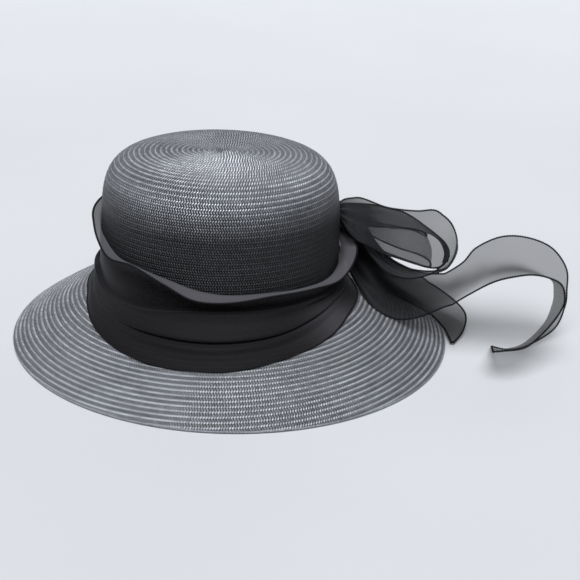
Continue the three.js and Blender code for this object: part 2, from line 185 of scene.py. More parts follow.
# Points of the band's section: (from, to, share of the way, share of flare, of roll)
WALL_POINTS = (
    ("top", "crease", 0, 1, 0),
    ("top", "crease", 0.5, 0.5, 0),
    ("crease", "valley", 0, 0.06, 0.03),
    ("crease", "valley", 0.6, 0, 0.02),
    ("crease", "valley", 1, 0, 0.1),
    ("crease", "valley", 1, 0, 0.45),
)
# and over the brim: (past the gap, back under the roll, lift laid open, lift tucked)
BRIM_POINTS = (
    (-0.25, 0, 0.13, 0.17),
    (0, 0, 0.075, 0.11),
    (0.02, 0.14, 0.07, 0.03),
    (0.09, 0, 0.055, 0.09),
    (0.17, 0, 0.045, 0.035),
    (0.28, 0, 0.03, 0.035),
)

# Painted sheen: the band's cloth is made thinner and painted paler along its flared top, low down at its
# right and high up at its left, where a sheen catches the light: how much, the flare's distances in
# millimetres, and (degrees, width, amount)
BAND_THINNEST_PAINTED_SHEEN = 0.95
FLARE_PAINTED_SHEEN_END = 19.2
FLARE_PAINTED_SHEEN_FADE = 12.0
BAND_PAINTED_SHEEN_RIGHT = (325, 15, 0.55)
BAND_PAINTED_SHEEN_LEFT = (208, 20, 0.5)

# Ribbon stations: far selvedge (out, side, lift), near selvedge (out, side, lift), cup
UPPER_LOOP = (
    (-0.023, 0.194, 0.543, -0.008, -0.161, 0.539, 0),
    (0.015, 0.194, 0.635, 0.032, -0.581, 0.517, 0.03),
    (0.054, 0.226, 0.68, 0.071, -0.677, 0.485, 0.05),
    (0.098, 0.226, 0.714, 0.113, -0.726, 0.49, 0.05),
    (0.198, 0.258, 0.724, 0.179, -0.71, 0.473, 0.03),
    (0.269, 0.258, 0.766, 0.24, -0.694, 0.486, 0.02),
    (0.348, 0.226, 0.84, 0.326, -0.694, 0.517, 0.02),
    (0.429, 0.161, 0.941, 0.398, -0.726, 0.571, 0.04),
    (0.489, 0.032, 0.892, 0.434, -0.839, 0.675, 0.06),
    (0.52, -0.065, 0.743, 0.449, -0.968, 0.816, 0.06),
    (0.5, -0.194, 0.599, 0.426, -1.097, 0.77, 0.05),
    (0.452, -0.29, 0.5, 0.384, -1.194, 0.678, 0.03),
    (0.376, -0.355, 0.416, 0.321, -1.194, 0.559, 0.02),
    (0.286, -0.419, 0.371, 0.258, -1.129, 0.469, 0.02),
    (0.2, -0.419, 0.396, 0.191, -0.935, 0.394, 0.01),
    (0.145, -0.355, 0.485, 0.129, -0.71, 0.418, 0.01),
    (0.105, -0.226, 0.551, 0.078, -0.516, 0.466, 0.01),
    (0.045, -0.129, 0.538, 0.031, -0.355, 0.48, 0),
    (-0.01, -0.032, 0.498, -0.016, -0.258, 0.479, 0),
)
UPPER_FOLD = (
    (-0.024, 0.129, 0.558, -0.016, -0.161, 0.488, 0),
    (0.015, 0.129, 0.609, 0.024, -0.177, 0.493, 0.02),
    (0.063, 0.145, 0.646, 0.08, -0.194, 0.51, 0.04),
    (0.116, 0.145, 0.685, 0.132, -0.21, 0.544, 0.05),
    (0.168, 0.145, 0.718, 0.192, -0.226, 0.593, 0.05),
    (0.222, 0.145, 0.741, 0.261, -0.242, 0.657, 0.04),
    (0.275, 0.129, 0.769, 0.317, -0.242, 0.702, 0.03),
    (0.329, 0.097, 0.77, 0.361, -0.242, 0.73, 0.02),
    (0.377, 0.032, 0.76, 0.397, -0.226, 0.745, 0.01),
    (0.424, -0.097, 0.757, 0.428, -0.258, 0.742, 0.01),
    (0.46, -0.226, 0.748, 0.443, -0.355, 0.727, 0),
    (0.476, -0.355, 0.712, 0.451, -0.452, 0.686, 0),
    (0.466, -0.484, 0.639, 0.44, -0.581, 0.625, 0),
)
INNER_LOOP = (
    (-0.007, -0.097, 0.529, 0.001, -0.355, 0.475, 0),
    (0.045, -0.129, 0.529, 0.052, -0.484, 0.455, 0.02),
    (0.115, -0.161, 0.538, 0.112, -0.548, 0.458, 0.02),
    (0.193, -0.161, 0.596, 0.19, -0.581, 0.46, 0.02),
    (0.262, -0.194, 0.66, 0.255, -0.613, 0.478, 0.02),
    (0.317, -0.226, 0.711, 0.311, -0.613, 0.496, 0.03),
    (0.367, -0.194, 0.728, 0.383, -0.581, 0.52, 0.04),
    (0.383, -0.032, 0.684, 0.398, -0.355, 0.526, 0.04),
    (0.339, 0.129, 0.656, 0.36, -0.161, 0.504, 0.03),
    (0.256, 0.194, 0.606, 0.254, -0.097, 0.454, 0.02),
    (0.158, 0.226, 0.546, 0.157, 0.0, 0.437, 0.01),
    (0.067, 0.194, 0.528, 0.068, 0.065, 0.452, 0),
    (0.004, 0.129, 0.523, 0.004, 0.032, 0.472, 0),
)
SWIRL = (
    (-0.004, 0.065, 0.443, 0.013, -0.226, 0.236, 0.0),
    (0.067, 0.032, 0.465, 0.072, -0.516, 0.084, 0.04),
    (0.148, -0.032, 0.424, 0.127, -0.806, 0.026, 0.06),
    (0.212, -0.129, 0.352, 0.183, -0.935, 0.006, 0.07),
    (0.275, -0.194, 0.334, 0.268, -1.0, 0.048, 0.05),
    (0.37, -0.1, 0.34, 0.36, -1.08, 0.21, -0.04),
    (0.47, -0.13, 0.45, 0.46, -1.13, 0.44, -0.1),
    (0.55, -0.16, 0.58, 0.55, -1.16, 0.59, -0.13),
    (0.6, -0.19, 0.73, 0.64, -1.19, 0.71, -0.14),
    (0.7, -0.23, 0.85, 0.73, -1.21, 0.77, -0.14),
    (0.81, -0.26, 0.86, 0.79, -1.26, 0.8, -0.14),
    (0.92, -0.29, 0.78, 0.85, -1.26, 0.78, -0.15),
    (0.99, -0.35, 0.61, 0.9, -1.29, 0.74, -0.16),
    (1, -0.42, 0.43, 0.92, -1.32, 0.66, -0.16),
    (1, -0.45, 0.29, 0.92, -1.32, 0.54, -0.16),
    (0.96, -0.55, 0.1, 0.87, -1.39, 0.38, -0.12),
    (0.83, -0.84, 0.02, 0.77, -1.68, 0.29, -0.06),
    (0.74, -0.97, 0.02, 0.68, -1.81, 0.29, -0.02),
    (0.675, -0.9, 0.02, 0.63, -1.77, 0.26, 0),
)
LOWER_TAIL = (
    (0.069, 0.161, 0.303, 0.069, -0.161, 0.09, 0.02),
    (0.212, 0.355, 0.256, 0.181, -0.323, 0.06, 0.02),
    (0.39, 0.387, 0.246, 0.314, -0.355, 0.062, 0.02),
    (0.508, 0.097, 0.19, 0.426, -0.258, 0.035, 0.02),
    (0.579, -0.226, 0.12, 0.482, -0.452, 0.025, 0.02),
    (0.564, -0.548, 0.05, 0.497, -0.677, 0.025, 0.02),
    (0.513, -0.839, 0.02, 0.503, -0.823, 0.015, 0.02),
)

# Painted shade and light on a ribbon: denser, darker cloth where a soft crease lies in shade, and
# thinner, paler cloth as painted light:
# (station, share of the way across, stations wide, share wide, change)
UPPER_PAINTED_LIGHT_AND_SHADE = (
    (10.2, 0.35, 1.2, 0.4, 0.8),
    (13.0, 0.6, 2.5, 0.4, 0.8),
    (15.5, 0.5, 2.0, 0.9, 0.5),
    (8.0, 0.2, 1.6, 0.4, -0.12),
)
SWIRL_PAINTED_LIGHT_AND_SHADE = (
    (2.6, 0.5, 2.0, 1.0, 0.5),
    (6.4, 0.3, 0.8, 0.16, 0.5),
    (7.4, 0.42, 0.8, 0.15, 0.5),
    (8.3, 0.56, 0.8, 0.14, 0.55),
    (9.2, 0.66, 0.8, 0.14, 0.55),
    (10.1, 0.76, 0.8, 0.13, 0.5),
    (11.0, 0.88, 0.8, 0.12, 0.5),
    (9.2, 1.0, 2.4, 0.36, 0.34),
    (5.2, 0.45, 1.3, 0.5, 0.4),
    (6.7, 0.86, 0.7, 0.2, -0.6),
)


# Camera at the photograph's angle
def make_camera():
    tilt = math.radians(CAMERA_ELEVATION)
    roll = math.radians(CAMERA_ROLL)
    back = Vector((0, -math.cos(tilt), math.sin(tilt)))
    right = Vector((1, 0, 0))
    up = back.cross(right)
    across = math.cos(roll) * right + math.sin(roll) * up
    upward = -math.sin(roll) * right + math.cos(roll) * up
    data = bpy.data.cameras.new("camera")
    data.lens = CAMERA_LENS
    data.sensor_width = CAMERA_SENSOR
    camera = bpy.data.objects.new("camera", data)
    target = Vector(AXIS) + Vector(CAMERA_AIM)
    turn = Matrix((across, upward, back)).transposed().to_4x4()
    camera.matrix_world = Matrix.Translation(target + back * CAMERA_DISTANCE) @ turn
    bpy.context.scene.collection.objects.link(camera)
    bpy.context.scene.camera = camera


make_camera()


# Pieces from grids of points
def new_piece(name, points, faces, uv, material):
    mesh = bpy.data.meshes.new(name)
    mesh.from_pydata((points / MM_PER_M + AXIS).tolist(), [], faces.tolist())
    layer = mesh.uv_layers.new(name="UVMap")
    layer.data.foreach_set("uv", uv.astype(np.float32).ravel())
    mesh.polygons.foreach_set("use_smooth", np.full(len(faces), True))
    mesh.materials.append(material)
    piece = bpy.data.objects.new(name, mesh)
    bpy.context.scene.collection.objects.link(piece)
    return piece


def joined(parts):
    """Several (points, faces, uv) as one."""
    points, faces, uvs, start = [], [], [], 0
    for part_points, part_faces, part_uv in parts:
        points.append(part_points)
        faces.append(part_faces + start)
        uvs.append(part_uv.reshape(-1, 2))
        start += len(part_points)
    return np.vstack(points), np.vstack(faces), np.vstack(uvs)


def turned_over(points, faces, uv):
    return points, faces[:, ::-1], uv[:, ::-1]


def grid_faces(rows, columns, ring=False):
    """Quads of a grid of points [row][column], closed along its rows if it is a ring."""
    row = np.arange(rows if ring else rows - 1)[:, None]
    column = np.arange(columns - 1)[None, :]
    near = row * columns + column
    far = ((row + 1) % rows) * columns + column
    return np.stack([near, far, far + 1, near + 1], -1).reshape(-1, 4)


def flat_grid(along, across):
    """Places (along, across) of a grid of points [along][across]."""
    return np.stack(np.meshgrid(along, across, indexing="ij"), -1).reshape(-1, 2)


def unit(vectors):
    return vectors / np.maximum(np.linalg.norm(vectors, axis=-1, keepdims=True), TINY_LENGTH)


def run_along(points):
    """Distance from the first point, along lines of points [..., point, 3]."""
    steps = np.linalg.norm(np.diff(points, axis=-2), axis=-1)
    return np.concatenate([np.zeros_like(steps[..., :1]), np.cumsum(steps, axis=-1)], -1)


def surface_normals(grid, ring=False):
    along = np.roll(grid, -1, 0) - np.roll(grid, 1, 0) if ring else np.gradient(grid, axis=0)
    return unit(np.cross(along, np.gradient(grid, axis=1)))


def real_faces(points, faces, uv):
    """Leaves out quads with no area, where rows run out at an edge."""
    first, second, third, fourth = (points[faces[:, corner]] for corner in range(4))
    area = np.linalg.norm(np.cross(third - first, fourth - second), axis=1)
    keep = area > TINY_AREA
    return faces[keep], uv.reshape(-1, 4, 2)[keep]


def stacked(x, y, z):
    return np.stack(np.broadcast_arrays(x, y, z), -1)


# Brim and crown surfaces, with angles from the back of the hat and shares of the way out
def angle_grid(count, start=0.0):
    return start + TURN * np.arange(count)[:, None] / count


def brim_sizes(share):
    half_length = CROWN_LENGTH / 2 - STRAW_WALL
    half_width = CROWN_WIDTH / 2 - STRAW_WALL
    return (
        BRIM_SHIFT_BACK * share,
        BRIM_SHIFT_SIDE * share,
        half_length + (BRIM_LENGTH / 2 - half_length) * share,
        half_width + (BRIM_WIDTH / 2 - half_width) * share,
    )


def brim_height(share):
    return BRIM_DROP + (RIM_HEIGHT - BRIM_DROP) * share + 4 * BRIM_BULGE * share * (1 - share)


def brim_point(angle, share, height):
    centre_x, centre_y, half_length, half_width = brim_sizes(share)
    return stacked(
        centre_x + half_length * np.cos(angle),
        centre_y + half_width * np.sin(angle),
        height,
    )


def height_under(x, y):
    """Height of the brim, or of the surface that the hat stands on, at places in plan."""
    farthest, halvings = 4.0, 30
    inner = np.zeros_like(x)
    outer = np.full_like(x, farthest)
    for _ in range(halvings):
        middle = (inner + outer) / 2
        centre_x, centre_y, half_length, half_width = brim_sizes(middle)
        beyond = np.hypot((x - centre_x) / half_length, (y - centre_y) / half_width) > 1
        inner = np.where(beyond, middle, inner)
        outer = np.where(beyond, outer, middle)
    return np.maximum(0, brim_height(inner))


def crown_point(angle, lean, inset):
    power = 2 / CROWN_SQUARENESS
    rise = np.sin(lean) ** power
    share = np.maximum(np.cos(lean), 0) ** power * (1 - CROWN_TAPER * rise)
    return stacked(
        (CROWN_LENGTH / 2 - inset) * share * np.cos(angle),
        (CROWN_WIDTH / 2 - inset) * share * np.sin(angle),
        BRIM_DROP + JOIN_GAP + (CROWN_HEIGHT - JOIN_GAP - inset) * rise,
    )


def beside_crown(angle, height, offset):
    rise = np.clip((height - BRIM_DROP) / CROWN_HEIGHT, 0, 1)
    share = (1 - CROWN_TAPER * rise) * (1 - rise**CROWN_SQUARENESS) ** (1 / CROWN_SQUARENESS)
    return stacked(
        (CROWN_LENGTH / 2 * share + offset) * np.cos(angle),
        (CROWN_WIDTH / 2 * share + offset) * np.sin(angle),
        height,
    )


def crown_surface(count, inset, start):
    """The crown from its foot to its middle, with close points at the tight shoulder."""
    way = np.linspace(0, 1, CROWN_PROFILE_POINTS)
    power = CROWN_SQUARENESS / 2
    lean = (math.pi / 2) * way**power / (way**power + (1 - way) ** power)
    return crown_point(angle_grid(count, start), lean[None, :], inset)


def brim_surface(count, drop, start):
    share = np.linspace(0, 1, BRIM_PROFILE_POINTS)[None, :]
    return brim_point(-angle_grid(count, start), share, brim_height(share) - drop)


# Sewn braid
def row_profile(within):
    """Height of a braid row over its width: a rounded ridge that laps the next row."""
    return np.abs(np.sin(np.pi * within**ROW_LEAN))


def braid_rows(surface, across, relief):
    """One long strip of braid that winds over a surface in rows of even pitch.

    The surface is a grid [angle][step from the edge where the strip starts], and across
    holds the points of a row as shares of its pitch.
    """
    count = surface.shape[0]
    steps = len(across)
    run = run_along(surface)
    reach = run[:, -1:]
    rows = int(math.ceil(reach.max() / ROW_PITCH)) + 1
    within = np.tile(across, rows + 1)
    turned = np.arange(count)[:, None] / count
    wanted = (np.repeat(np.arange(-1, rows), steps) + within + turned) * ROW_PITCH
    wanted = np.clip(wanted, 0, reach)
    fade = np.clip(np.minimum(wanted, reach - wanted) / ROW_FADE, 0, 1)
    normals = surface_normals(surface, ring=True)
    base = np.empty((*wanted.shape, 3))
    out = np.empty_like(base)
    for line in range(count):
        for axis in range(3):
            base[line, :, axis] = np.interp(wanted[line], run[line], surface[line, :, axis])
            out[line, :, axis] = np.interp(wanted[line], run[line], normals[line, :, axis])
    pressed = STEEP_RELIEF + (1 - STEEP_RELIEF) * np.abs(out[..., 2])
    points = base + out * (relief * pressed * row_profile(within) * fade)[..., None]
    points = points.reshape(-1, 3)
    faces, uv = braid_faces(strokes_along(base[:, steps // 2::steps]), within, steps)
    return points, *real_faces(points, faces, uv)


def strokes_along(middle):
    """Strokes of the weave up to each place on the strip, row after row, [angle][row]."""
    hop = np.linalg.norm(np.roll(middle, -1, 0) - middle, axis=2)
    run = np.concatenate([np.zeros((1, middle.shape[1])), np.cumsum(hop, 0)], 0)
    start = np.concatenate([[0], np.cumsum(run[-1])[:-1]])
    return (run + start) / STROKE_PITCH


def braid_faces(strokes, within, steps):
    """Quads of the strip. At the seam each row goes on as the next one."""
    count = len(strokes) - 1
    columns = len(within)
    beyond = np.roll(within, -1)
    row_end = np.where(beyond == 0, 1.0, beyond)
    faces, uvs = [], []
    for line in range(count):
        shift = steps if line == count - 1 else 0
        column = np.arange(columns - 1 - shift)
        near = line * columns + column
        far = ((line + 1) % count) * columns + column + shift
        faces.append(np.stack([near, far, far + 1, near + 1], -1))
        row = column // steps
        from_stroke, to_stroke = strokes[line, row], strokes[line + 1, row]
        from_row, to_row = row + within[column], row + row_end[column]
        corners = (from_stroke, from_row, to_stroke, from_row, to_stroke, to_row, from_stroke, to_row)
        uvs.append(np.stack(corners, -1).reshape(-1, 4, 2))
    return np.vstack(faces), np.vstack(uvs)


def closing_ring(first, second):
    grid = np.stack([first, second], 1)
    faces = grid_faces(len(grid), 2, ring=True)
    return grid.reshape(-1, 3), faces, np.zeros((len(faces), 4, 2))


# Materials. A piece's own mark, made by mark_points, is the attribute MARK.
MARK = "gathering_and_painted_shading"
PAINTED_SHADE_COLOUR = (0.0015, 0.0015, 0.002, 1)
STRAW_COLOUR = (0.81, 0.825, 0.875, 1)
PAINTED_SHEEN_COLOUR = (0.055, 0.053, 0.058, 1)
SHEEN_COLOUR = (0.75, 0.78, 0.85, 1)

# Straw strokes: slant over a half row and wander along it, all in strokes, how steeply painted shade
# darkens a stroke to its edges and a half row to its own, and the rates of slow changes
STROKE_SLANT = 1.3
STROKE_WANDER = 0.5
WANDER_RATE = 0.31
STROKE_PAINTED_SHADE_EDGE = 2.4
FLANK_PAINTED_SHADE_EDGE = 0.4
STREAK_RATES = (0.05, 0.7)

# Shares of light or height as (start, gain): start where the cause is nought. Light by crest, by mark and
# of the half row is painted shade; by chance and by streak it is the straw's own tone
HEIGHT_BY_CREST = (0.35, 0.65)
PAINTED_SHADE_BY_CREST = (0.3, 0.7)
LIGHT_BY_CHANCE = (0.58, 0.42)
LIGHT_BY_STREAK = (0.55, 0.8)
PAINTED_SHADE_BY_MARK = (1.0, -0.91)
PAINTED_SHADE_OF_HALF_ROW = (0.6, -0.35)
ROUGH_BY_CHANCE = 0.12
ROUGH_BY_DEPTH = 0.45

# Cloth and thread, in millimetres, and the rates of soft streaks along and across cloth
WEAVE_PITCH = 0.55
CLOTH_STREAK_RATES = (0.012, 0.22)
TWIST_PITCH = 0.8


class Shader:
    def __init__(self, name):
        self.material = bpy.data.materials.new(name)
        self.material.use_nodes = True
        self.tree = self.material.node_tree
        self.surface = self.tree.nodes["Principled BSDF"]

    def feed(self, socket, value):
        if isinstance(value, bpy.types.NodeSocket):
            self.tree.links.new(value, socket)
        else:
            socket.default_value = value

    def node(self, kind, inputs=None, **settings):
        node = self.tree.nodes.new(kind)
        for name, value in settings.items():
            setattr(node, name, value)
        for socket, value in (inputs or {}).items():
            self.feed(node.inputs[socket], value)
        return node

    def calc(self, operation, *values):
        node = self.node("ShaderNodeMath", operation=operation)
        for socket, value in zip(node.inputs, values):
            self.feed(socket, value)
        return node.outputs[0]

    def chain(self, operation, values):
        result = values[0]
        for value in values[1:]:
            result = self.calc(operation, result, value)
        return result

    def plus(self, *values):
        return self.chain("ADD", values)

    def times(self, *values):
        return self.chain("MULTIPLY", values)

    def minus(self, first, second):
        return self.calc("SUBTRACT", first, second)

    def ramp(self, start, gain, value):
        """start + gain * value"""
        return self.plus(start, self.times(value, gain))

    def uv(self):
        place = self.node("ShaderNodeTexCoord").outputs["UV"]
        split = self.node("ShaderNodeSeparateXYZ", {0: place})
        return split.outputs[0], split.outputs[1]

    def mark(self):
        return self.node("ShaderNodeAttribute", attribute_name=MARK).outputs["Fac"]

    def vector(self, x, y, z=0.0):
        return self.node("ShaderNodeCombineXYZ", {0: x, 1: y, 2: z}).outputs[0]

    def random(self, x, y, z):
        node = self.node("ShaderNodeTexWhiteNoise", {"Vector": self.vector(x, y, z)})
        return node.outputs["Value"]

    def noise(self, vector, scale=1.0, detail=2.0):
        node = self.node("ShaderNodeTexNoise", {"Vector": vector, "Scale": scale, "Detail": detail})
        return node.outputs["Fac"]

    def mix_colour(self, factor, first, second):
        """Mixes colours. Their sockets go by number, as other types have the same names."""
        first_colour, second_colour, mixed_colour = 6, 7, 2
        node = self.node("ShaderNodeMix", data_type="RGBA")
        self.feed(node.inputs["Factor"], factor)
        self.feed(node.inputs[first_colour], first)
        self.feed(node.inputs[second_colour], second)
        return node.outputs[mixed_colour]

    def bump(self, height, strength, distance):
        node = self.node("ShaderNodeBump", {"Height": height, "Strength": strength, "Distance": distance})
        self.feed(self.surface.inputs["Normal"], node.outputs[0])

    def set(self, **values):
        for name, value in values.items():
            self.feed(self.surface.inputs[name.replace("_", " ")], value)


def straw_material(name, gloss):
    """Herringbone plait: two half rows of slanting strokes, each straw a little different."""
    look = Shader(name)
    along, across = look.uv()
    row = look.calc("FLOOR", across)
    offset = look.minus(look.calc("FRACT", across), 0.5)
    second_half = look.calc("GREATER_THAN", offset, 0.0)
    half = look.calc("ABSOLUTE", offset)
    wander = look.noise(look.vector(look.times(along, WANDER_RATE), row))
    phase = look.plus(along, look.times(half, STROKE_SLANT), look.times(wander, STROKE_WANDER))

    # rounded across a stroke, and from a half row's edges to the crest along its middle
    body = look.calc("SINE", look.times(look.calc("FRACT", phase), math.pi))
    from_crest = look.minus(look.times(half, 4.0), 1.0)
    crest = look.minus(1.0, look.times(from_crest, from_crest))
    height = look.times(body, look.ramp(*HEIGHT_BY_CREST, crest))
    painted_flank_shade = look.calc("POWER", look.calc("MAXIMUM", crest, 0.0), FLANK_PAINTED_SHADE_EDGE)

    # light: painted shade in the gaps between strokes, towards the grooves between half rows, on each
    # row's second half and down the crown's side by the piece's mark, and the straw's own tone by chance
    # for each straw and by slow streaks
    chance = look.random(look.calc("FLOOR", phase), row, second_half)
    along_rate, row_rate = STREAK_RATES
    streak = look.noise(look.vector(look.times(along, along_rate), look.times(row, row_rate)))
    mark = look.mark()
    # painted shade on the second half of each row, less of it down the crown's side
    painted_half_row_shade = look.times(second_half, look.ramp(*PAINTED_SHADE_OF_HALF_ROW, mark))
    light = look.times(
        look.calc("POWER", body, STROKE_PAINTED_SHADE_EDGE),
        look.ramp(*PAINTED_SHADE_BY_CREST, painted_flank_shade),
        look.ramp(*LIGHT_BY_CHANCE, chance),
        look.ramp(*PAINTED_SHADE_BY_MARK, mark),
        look.ramp(*LIGHT_BY_STREAK, streak),
        look.minus(1.0, painted_half_row_shade),
    )
    colour = look.mix_colour(light, PAINTED_SHADE_COLOUR, STRAW_COLOUR)
    depth = look.minus(1.0, height)
    rough = look.plus(look.times(chance, ROUGH_BY_CHANCE), look.times(depth, ROUGH_BY_DEPTH), gloss)
    look.set(Base_Color=colour, Roughness=rough, Metallic=0.5, Specular_IOR_Level=0.35)
    look.set(Coat_Weight=0.06, Coat_Roughness=0.25)
    look.bump(height, 1.0, 0.0007)
    return look.material


def cloth_material(name, dark, light, alpha, roughness, sheen):
    """Organza: fine crossed threads, a faint sheen, and soft streaks along the cloth."""
    look = Shader(name)
    along, across = look.uv()
    warp = look.calc("SINE", look.times(along, TURN / WEAVE_PITCH))
    weft = look.calc("SINE", look.times(across, TURN / WEAVE_PITCH))
    weave = look.ramp(0.5, 0.25, look.plus(warp, weft))
    along_rate, across_rate = CLOTH_STREAK_RATES
    place = look.vector(look.times(along, along_rate), look.times(across, across_rate))
    streak = look.noise(place, detail=3.0)
    tone = look.times(look.ramp(streak, 0.4, weave), 0.7)
    colour = look.mix_colour(tone, (*dark, 1), (*light, 1))

    # a mark below nought is thin, more see-through cloth painted paler as a painted sheen, and one above
    # it is gathered, denser cloth, also where ribbons carry painted shade
    mark = look.mark()
    painted_sheen = look.calc("MINIMUM", look.calc("MAXIMUM", look.times(mark, -1.0), 0.0), 1.0)
    colour = look.mix_colour(painted_sheen, colour, PAINTED_SHEEN_COLOUR)
    closed = look.ramp(alpha, 1 - alpha, mark)
    opening = look.times(look.minus(weave, 0.5), 0.12)
    look.set(Base_Color=colour, Roughness=roughness, Specular_IOR_Level=0.06)
    look.set(Sheen_Weight=sheen, Sheen_Roughness=0.45, Sheen_Tint=SHEEN_COLOUR)
    look.set(Alpha=look.plus(closed, opening))
    look.bump(weave, 0.25, 0.0001)
    return look.material


def thread_material(name):
    look = Shader(name)
    along, around = look.uv()
    twist = look.calc("SINE", look.plus(look.times(along, TURN / TWIST_PITCH), look.times(around, TURN)))
    tone = look.ramp(0.5, 0.3, twist)
    colour = look.mix_colour(tone, (0.0015, 0.0015, 0.0018, 1), (0.007, 0.007, 0.008, 1))
    look.set(Base_Color=colour, Roughness=0.7, Specular_IOR_Level=0.12)
    look.bump(twist, 0.5, 0.0002)
    return look.material


STRAW = straw_material("straw_outer", gloss=0.24)
STRAW_INSIDE = straw_material("straw_inner", gloss=0.5)
BAND_CLOTH = cloth_material(
    "band_organza", dark=(0.0022, 0.0018, 0.002), light=(0.0075, 0.0064, 0.007),
    alpha=0.95, roughness=0.65, sheen=0.12,
)
BOW_CLOTH = cloth_material(
    "bow_organza", dark=(0.004, 0.004, 0.0045), light=(0.014, 0.014, 0.0155),
    alpha=0.64, roughness=0.6, sheen=0.04,
)
EDGE_THREAD = thread_material("edge_thread")


def mark_points(piece, values):
    """At each point, how far cloth is gathered (up to 1) or thin with a painted sheen (below 0),
    with painted shade and light in ribbons' soft creases added, or how far straw is darkened as painted
    shade."""
    layer = piece.data.attributes.new(MARK, "FLOAT", "POINT")
    layer.data.foreach_set("value", np.ravel(values).astype(np.float32))


def finished(piece, node):
    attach(piece, "root")
    if node:
        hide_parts(node)
    return piece


# Straw pieces
def make_crown():
    seam = math.radians(CROWN_SEAM)
    outer_surface = crown_surface(CROWN_TURN_POINTS, 0.0, seam)
    points, faces, uv = braid_rows(outer_surface, FINE_ACROSS, ROW_RELIEF)
    piece = new_piece("crown_braid", points, faces, uv, STRAW)
    # painted shade: the mark darkens the straw down the crown's side, fading in between the two heights
    down = (PAINTED_SHADE_TOP - points[:, 2]) / (PAINTED_SHADE_TOP - PAINTED_SHADE_FOOT)
    mark_points(piece, np.sqrt(np.clip(down, 0, 1)))
    finished(piece, "crown")
    inner_surface = crown_surface(CROWN_INSIDE_TURN_POINTS, STRAW_WALL, seam)
    inner = turned_over(*braid_rows(inner_surface, PLAIN_ACROSS, INSIDE_RELIEF))
    outer_foot = crown_surface(CROWN_INSIDE_TURN_POINTS, 0.0, seam)[:, 0]
    foot = closing_ring(outer_foot, inner_surface[:, 0])
    finished(new_piece("crown_inside", *joined([inner, foot]), STRAW_INSIDE), None)


def make_brim():
    seam = math.radians(BRIM_SEAM)
    outer_surface = brim_surface(BRIM_TURN_POINTS, 0.0, seam)
    upper = braid_rows(outer_surface, FINE_ACROSS, ROW_RELIEF)
    finished(new_piece("brim_braid", *upper, STRAW), "brim")
    count = BRIM_UNDER_TURN_POINTS
    under_surface = brim_surface(count, STRAW_WALL, seam)
    under = turned_over(*braid_rows(under_surface, PLAIN_ACROSS, INSIDE_RELIEF))
    join = closing_ring(under_surface[:, 0], brim_surface(count, 0.0, seam)[:, 0])
    parts = joined([under, rim_strip(count, seam), join])
    finished(new_piece("brim_under", *parts, STRAW_INSIDE), None)


def rim_strip(count, seam):
    """The brim's rolled edge, from its top round to its underside."""
    angles = angle_grid(count, seam)[:, 0]
    section = [brim_point(angles, 1 + past / BRIM_RUN, height) for past, height in RIM_SECTION]
    lip = 1 + RIM_LIP / BRIM_RUN
    section.append(brim_point(angles, lip, brim_height(lip) - STRAW_WALL))
    grid = np.stack(section, 1)
    faces = grid_faces(*grid.shape[:2], ring=True)
    uv = flat_grid(np.arange(count) * RIM_STROKES_PER_STEP, np.linspace(0.1, 0.9, len(section)))
    return grid.reshape(-1, 3), faces, uv[faces]


make_crown()
make_brim()


# Smooth values along a table, and smooth curves through points
def smooth_value(places, values, place):
    cell = np.clip(np.searchsorted(places, place, side="right") - 1, 1, len(places) - 2)
    span = places[cell + 1] - places[cell]
    slopes = np.zeros(len(values))
    slopes[1:-1] = (values[2:] - values[:-2]) / (places[2:] - places[:-2])
    way = (place - places[cell]) / span
    return (
        values[cell] * (1 + 2 * way) * (1 - way) ** 2
        + slopes[cell] * span * way * (1 - way) ** 2
        + values[cell + 1] * (3 - 2 * way) * way**2
        - slopes[cell + 1] * span * (1 - way) * way**2
    )


def centripetal(points, count):
    """Centripetal Catmull-Rom curve through points [..., point, 3], at count + 1 places."""
    first = 2 * points[..., :1, :] - points[..., 1:2, :]
    last = 2 * points[..., -1:, :] - points[..., -2:-1, :]
    padded = np.concatenate([first, points, last], -2)
    places = np.linspace(0, points.shape[-2] - 1, count + 1)
    cell = np.minimum(places.astype(int), points.shape[-2] - 2)
    way = (places - cell)[:, None]
    before, start, end, after = (padded[..., cell + step, :] for step in range(4))

    def span(near, far):
        return np.maximum(np.linalg.norm(far - near, axis=-1, keepdims=True), TINY_SPAN) ** 0.5

    span_in, span_here, span_out = span(before, start), span(start, end), span(end, after)
    slope_start = (
        (start - before) / span_in - (end - before) / (span_in + span_here) + (end - start) / span_here
    ) * span_here
    slope_end = (
        (end - start) / span_here - (after - start) / (span_here + span_out) + (after - end) / span_out
    ) * span_here
    return (
        start * (1 + 2 * way) * (1 - way) ** 2 + slope_start * way * (1 - way) ** 2
        + end * (3 - 2 * way) * way**2 - slope_end * (1 - way) * way**2
    )


